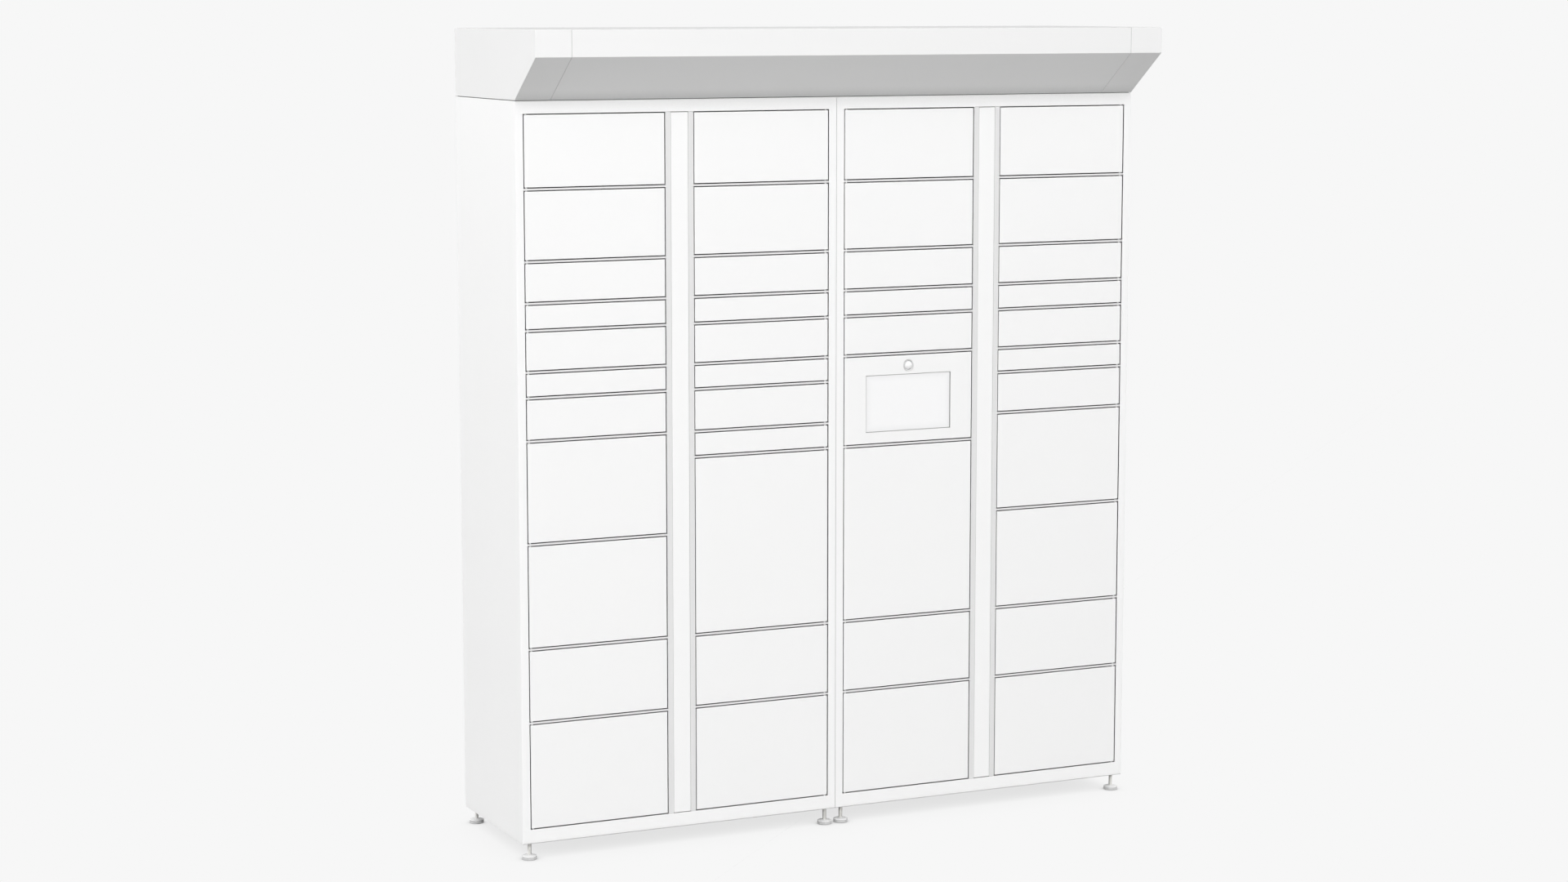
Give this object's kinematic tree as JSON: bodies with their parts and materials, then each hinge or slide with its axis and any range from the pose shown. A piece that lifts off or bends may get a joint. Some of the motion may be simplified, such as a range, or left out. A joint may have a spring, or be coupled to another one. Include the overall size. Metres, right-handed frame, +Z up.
{
  "type": "parcel locker",
  "caption": "Free-standing parcel locker bank: hinged steel compartment doors in columns, a touch-screen terminal with camera, a sloped rain canopy and levelling feet.",
  "frame": {"origin": "centre of the bounding box in plan, on the floor under the levelling feet", "axes": "+Z up; +X along the row of doors, to the right as a user sees it; -Y out of the doors towards the user, +Y into the cabinet"},
  "size_m": [2, 0.6714, 2.3797],
  "materials": {
    "cabinet_shell": "satin",
    "door_sheet": "satin",
    "channel_cover": "satin",
    "canopy_sheet": "satin",
    "rack_steel": "satin",
    "terminal_housing": "satin",
    "foot_zinc": "satin"
  },
  "bodies": {
    "cabinet": {"left_shell": "cabinet_shell", "left_rack": "rack_steel", "left_channel_cover": "channel_cover", "right_shell": "cabinet_shell", "right_rack": "rack_steel", "right_channel_cover": "channel_cover", "canopy_left_end": "canopy_sheet", "canopy_middle": "canopy_sheet", "canopy_right_end": "canopy_sheet"},
    "door_1_01": {"door_1_01": "door_sheet"},
    "door_1_02": {"door_1_02": "door_sheet"},
    "door_1_03": {"door_1_03": "door_sheet"},
    "door_1_04": {"door_1_04": "door_sheet"},
    "door_1_05": {"door_1_05": "door_sheet"},
    "door_1_06": {"door_1_06": "door_sheet"},
    "door_1_07": {"door_1_07": "door_sheet"},
    "door_1_08": {"door_1_08": "door_sheet"},
    "door_1_09": {"door_1_09": "door_sheet"},
    "door_1_10": {"door_1_10": "door_sheet"},
    "door_1_11": {"door_1_11": "door_sheet"},
    "door_2_01": {"door_2_01": "door_sheet"},
    "door_2_02": {"door_2_02": "door_sheet"},
    "door_2_03": {"door_2_03": "door_sheet"},
    "door_2_04": {"door_2_04": "door_sheet"},
    "door_2_05": {"door_2_05": "door_sheet"},
    "door_2_06": {"door_2_06": "door_sheet"},
    "door_2_07": {"door_2_07": "door_sheet"},
    "door_2_08": {"door_2_08": "door_sheet"},
    "door_2_09": {"door_2_09": "door_sheet"},
    "door_2_10": {"door_2_10": "door_sheet"},
    "door_2_11": {"door_2_11": "door_sheet"},
    "door_3_01": {"door_3_01": "door_sheet"},
    "door_3_02": {"door_3_02": "door_sheet"},
    "door_3_03": {"door_3_03": "door_sheet"},
    "door_3_04": {"door_3_04": "door_sheet"},
    "door_3_05": {"door_3_05": "door_sheet"},
    "terminal_door": {"terminal_door": "door_sheet", "control_terminal": "terminal_housing"},
    "door_3_06": {"door_3_06": "door_sheet"},
    "door_3_07": {"door_3_07": "door_sheet"},
    "door_3_08": {"door_3_08": "door_sheet"},
    "door_4_01": {"door_4_01": "door_sheet"},
    "door_4_02": {"door_4_02": "door_sheet"},
    "door_4_03": {"door_4_03": "door_sheet"},
    "door_4_04": {"door_4_04": "door_sheet"},
    "door_4_05": {"door_4_05": "door_sheet"},
    "door_4_06": {"door_4_06": "door_sheet"},
    "door_4_07": {"door_4_07": "door_sheet"},
    "door_4_08": {"door_4_08": "door_sheet"},
    "door_4_09": {"door_4_09": "door_sheet"},
    "door_4_10": {"door_4_10": "door_sheet"},
    "door_4_11": {"door_4_11": "door_sheet"},
    "foot_1": {"foot_1": "foot_zinc"},
    "foot_2": {"foot_2": "foot_zinc"},
    "foot_3": {"foot_3": "foot_zinc"},
    "foot_4": {"foot_4": "foot_zinc"},
    "foot_5": {"foot_5": "foot_zinc"},
    "foot_6": {"foot_6": "foot_zinc"},
    "foot_7": {"foot_7": "foot_zinc"},
    "foot_8": {"foot_8": "foot_zinc"}
  },
  "joints": [
    {"name": "door_1_01_hinge", "type": "hinge", "parent": "cabinet", "child": "door_1_01", "pos_m": [-0.966, -0.1588, 2.0401], "axis": [0, 0, -1], "range_deg": [0, 90]},
    {"name": "door_1_02_hinge", "type": "hinge", "parent": "cabinet", "child": "door_1_02", "pos_m": [-0.966, -0.1588, 1.831], "axis": [0, 0, -1], "range_deg": [0, 90]},
    {"name": "door_1_03_hinge", "type": "hinge", "parent": "cabinet", "child": "door_1_03", "pos_m": [-0.966, -0.1588, 1.67], "axis": [0, 0, -1], "range_deg": [0, 90]},
    {"name": "door_1_04_hinge", "type": "hinge", "parent": "cabinet", "child": "door_1_04", "pos_m": [-0.966, -0.1588, 1.5725], "axis": [0, 0, -1], "range_deg": [0, 90]},
    {"name": "door_1_05_hinge", "type": "hinge", "parent": "cabinet", "child": "door_1_05", "pos_m": [-0.966, -0.1588, 1.475], "axis": [0, 0, -1], "range_deg": [0, 90]},
    {"name": "door_1_06_hinge", "type": "hinge", "parent": "cabinet", "child": "door_1_06", "pos_m": [-0.966, -0.1588, 1.37925], "axis": [0, 0, -1], "range_deg": [0, 90]},
    {"name": "door_1_07_hinge", "type": "hinge", "parent": "cabinet", "child": "door_1_07", "pos_m": [-0.966, -0.1588, 1.28075], "axis": [0, 0, -1], "range_deg": [0, 90]},
    {"name": "door_1_08_hinge", "type": "hinge", "parent": "cabinet", "child": "door_1_08", "pos_m": [-0.966, -0.1588, 1.0705], "axis": [0, 0, -1], "range_deg": [0, 90]},
    {"name": "door_1_09_hinge", "type": "hinge", "parent": "cabinet", "child": "door_1_09", "pos_m": [-0.966, -0.1588, 0.77], "axis": [0, 0, -1], "range_deg": [0, 90]},
    {"name": "door_1_10_hinge", "type": "hinge", "parent": "cabinet", "child": "door_1_10", "pos_m": [-0.966, -0.1588, 0.5105], "axis": [0, 0, -1], "range_deg": [0, 90]},
    {"name": "door_1_11_hinge", "type": "hinge", "parent": "cabinet", "child": "door_1_11", "pos_m": [-0.966, -0.1588, 0.2454], "axis": [0, 0, -1], "range_deg": [0, 90]},
    {"name": "door_2_01_hinge", "type": "hinge", "parent": "cabinet", "child": "door_2_01", "pos_m": [-0.034, -0.1588, 2.0401], "axis": [0, 0, 1], "range_deg": [0, 90]},
    {"name": "door_2_02_hinge", "type": "hinge", "parent": "cabinet", "child": "door_2_02", "pos_m": [-0.034, -0.1588, 1.831], "axis": [0, 0, 1], "range_deg": [0, 90]},
    {"name": "door_2_03_hinge", "type": "hinge", "parent": "cabinet", "child": "door_2_03", "pos_m": [-0.034, -0.1588, 1.67], "axis": [0, 0, 1], "range_deg": [0, 90]},
    {"name": "door_2_04_hinge", "type": "hinge", "parent": "cabinet", "child": "door_2_04", "pos_m": [-0.034, -0.1588, 1.5725], "axis": [0, 0, 1], "range_deg": [0, 90]},
    {"name": "door_2_05_hinge", "type": "hinge", "parent": "cabinet", "child": "door_2_05", "pos_m": [-0.034, -0.1588, 1.475], "axis": [0, 0, 1], "range_deg": [0, 90]},
    {"name": "door_2_06_hinge", "type": "hinge", "parent": "cabinet", "child": "door_2_06", "pos_m": [-0.034, -0.1588, 1.37925], "axis": [0, 0, 1], "range_deg": [0, 90]},
    {"name": "door_2_07_hinge", "type": "hinge", "parent": "cabinet", "child": "door_2_07", "pos_m": [-0.034, -0.1588, 1.28075], "axis": [0, 0, 1], "range_deg": [0, 90]},
    {"name": "door_2_08_hinge", "type": "hinge", "parent": "cabinet", "child": "door_2_08", "pos_m": [-0.034, -0.1588, 1.18185], "axis": [0, 0, 1], "range_deg": [0, 90]},
    {"name": "door_2_09_hinge", "type": "hinge", "parent": "cabinet", "child": "door_2_09", "pos_m": [-0.034, -0.1588, 0.88135], "axis": [0, 0, 1], "range_deg": [0, 90]},
    {"name": "door_2_10_hinge", "type": "hinge", "parent": "cabinet", "child": "door_2_10", "pos_m": [-0.034, -0.1588, 0.5105], "axis": [0, 0, 1], "range_deg": [0, 90]},
    {"name": "door_2_11_hinge", "type": "hinge", "parent": "cabinet", "child": "door_2_11", "pos_m": [-0.034, -0.1588, 0.2454], "axis": [0, 0, 1], "range_deg": [0, 90]},
    {"name": "door_3_01_hinge", "type": "hinge", "parent": "cabinet", "child": "door_3_01", "pos_m": [0.034, -0.1588, 2.0401], "axis": [0, 0, -1], "range_deg": [0, 90]},
    {"name": "door_3_02_hinge", "type": "hinge", "parent": "cabinet", "child": "door_3_02", "pos_m": [0.034, -0.1588, 1.831], "axis": [0, 0, -1], "range_deg": [0, 90]},
    {"name": "door_3_03_hinge", "type": "hinge", "parent": "cabinet", "child": "door_3_03", "pos_m": [0.034, -0.1588, 1.67], "axis": [0, 0, -1], "range_deg": [0, 90]},
    {"name": "door_3_04_hinge", "type": "hinge", "parent": "cabinet", "child": "door_3_04", "pos_m": [0.034, -0.1588, 1.5725], "axis": [0, 0, -1], "range_deg": [0, 90]},
    {"name": "door_3_05_hinge", "type": "hinge", "parent": "cabinet", "child": "door_3_05", "pos_m": [0.034, -0.1588, 1.475], "axis": [0, 0, -1], "range_deg": [0, 90]},
    {"name": "terminal_door_hinge", "type": "hinge", "parent": "cabinet", "child": "terminal_door", "pos_m": [0.034, -0.1588, 1.28035], "axis": [0, 0, -1], "range_deg": [0, 90]},
    {"name": "door_3_06_hinge", "type": "hinge", "parent": "cabinet", "child": "door_3_06", "pos_m": [0.034, -0.1588, 0.88135], "axis": [0, 0, -1], "range_deg": [0, 90]},
    {"name": "door_3_07_hinge", "type": "hinge", "parent": "cabinet", "child": "door_3_07", "pos_m": [0.034, -0.1588, 0.5105], "axis": [0, 0, -1], "range_deg": [0, 90]},
    {"name": "door_3_08_hinge", "type": "hinge", "parent": "cabinet", "child": "door_3_08", "pos_m": [0.034, -0.1588, 0.2454], "axis": [0, 0, -1], "range_deg": [0, 90]},
    {"name": "door_4_01_hinge", "type": "hinge", "parent": "cabinet", "child": "door_4_01", "pos_m": [0.966, -0.1588, 2.0401], "axis": [0, 0, 1], "range_deg": [0, 90]},
    {"name": "door_4_02_hinge", "type": "hinge", "parent": "cabinet", "child": "door_4_02", "pos_m": [0.966, -0.1588, 1.831], "axis": [0, 0, 1], "range_deg": [0, 90]},
    {"name": "door_4_03_hinge", "type": "hinge", "parent": "cabinet", "child": "door_4_03", "pos_m": [0.966, -0.1588, 1.67], "axis": [0, 0, 1], "range_deg": [0, 90]},
    {"name": "door_4_04_hinge", "type": "hinge", "parent": "cabinet", "child": "door_4_04", "pos_m": [0.966, -0.1588, 1.5725], "axis": [0, 0, 1], "range_deg": [0, 90]},
    {"name": "door_4_05_hinge", "type": "hinge", "parent": "cabinet", "child": "door_4_05", "pos_m": [0.966, -0.1588, 1.475], "axis": [0, 0, 1], "range_deg": [0, 90]},
    {"name": "door_4_06_hinge", "type": "hinge", "parent": "cabinet", "child": "door_4_06", "pos_m": [0.966, -0.1588, 1.37925], "axis": [0, 0, 1], "range_deg": [0, 90]},
    {"name": "door_4_07_hinge", "type": "hinge", "parent": "cabinet", "child": "door_4_07", "pos_m": [0.966, -0.1588, 1.28075], "axis": [0, 0, 1], "range_deg": [0, 90]},
    {"name": "door_4_08_hinge", "type": "hinge", "parent": "cabinet", "child": "door_4_08", "pos_m": [0.966, -0.1588, 1.0705], "axis": [0, 0, 1], "range_deg": [0, 90]},
    {"name": "door_4_09_hinge", "type": "hinge", "parent": "cabinet", "child": "door_4_09", "pos_m": [0.966, -0.1588, 0.77], "axis": [0, 0, 1], "range_deg": [0, 90]},
    {"name": "door_4_10_hinge", "type": "hinge", "parent": "cabinet", "child": "door_4_10", "pos_m": [0.966, -0.1588, 0.5105], "axis": [0, 0, 1], "range_deg": [0, 90]},
    {"name": "door_4_11_hinge", "type": "hinge", "parent": "cabinet", "child": "door_4_11", "pos_m": [0.966, -0.1588, 0.2454], "axis": [0, 0, 1], "range_deg": [0, 90]},
    {"name": "foot_1_thread", "type": "slide", "parent": "cabinet", "child": "foot_1", "axis": [0, 0, 1], "range_m": [-0.015, 0.015]},
    {"name": "foot_2_thread", "type": "slide", "parent": "cabinet", "child": "foot_2", "axis": [0, 0, 1], "range_m": [-0.015, 0.015]},
    {"name": "foot_3_thread", "type": "slide", "parent": "cabinet", "child": "foot_3", "axis": [0, 0, 1], "range_m": [-0.015, 0.015]},
    {"name": "foot_4_thread", "type": "slide", "parent": "cabinet", "child": "foot_4", "axis": [0, 0, 1], "range_m": [-0.015, 0.015]},
    {"name": "foot_5_thread", "type": "slide", "parent": "cabinet", "child": "foot_5", "axis": [0, 0, 1], "range_m": [-0.015, 0.015]},
    {"name": "foot_6_thread", "type": "slide", "parent": "cabinet", "child": "foot_6", "axis": [0, 0, 1], "range_m": [-0.015, 0.015]},
    {"name": "foot_7_thread", "type": "slide", "parent": "cabinet", "child": "foot_7", "axis": [0, 0, 1], "range_m": [-0.015, 0.015]},
    {"name": "foot_8_thread", "type": "slide", "parent": "cabinet", "child": "foot_8", "axis": [0, 0, 1], "range_m": [-0.015, 0.015]}
  ]
}
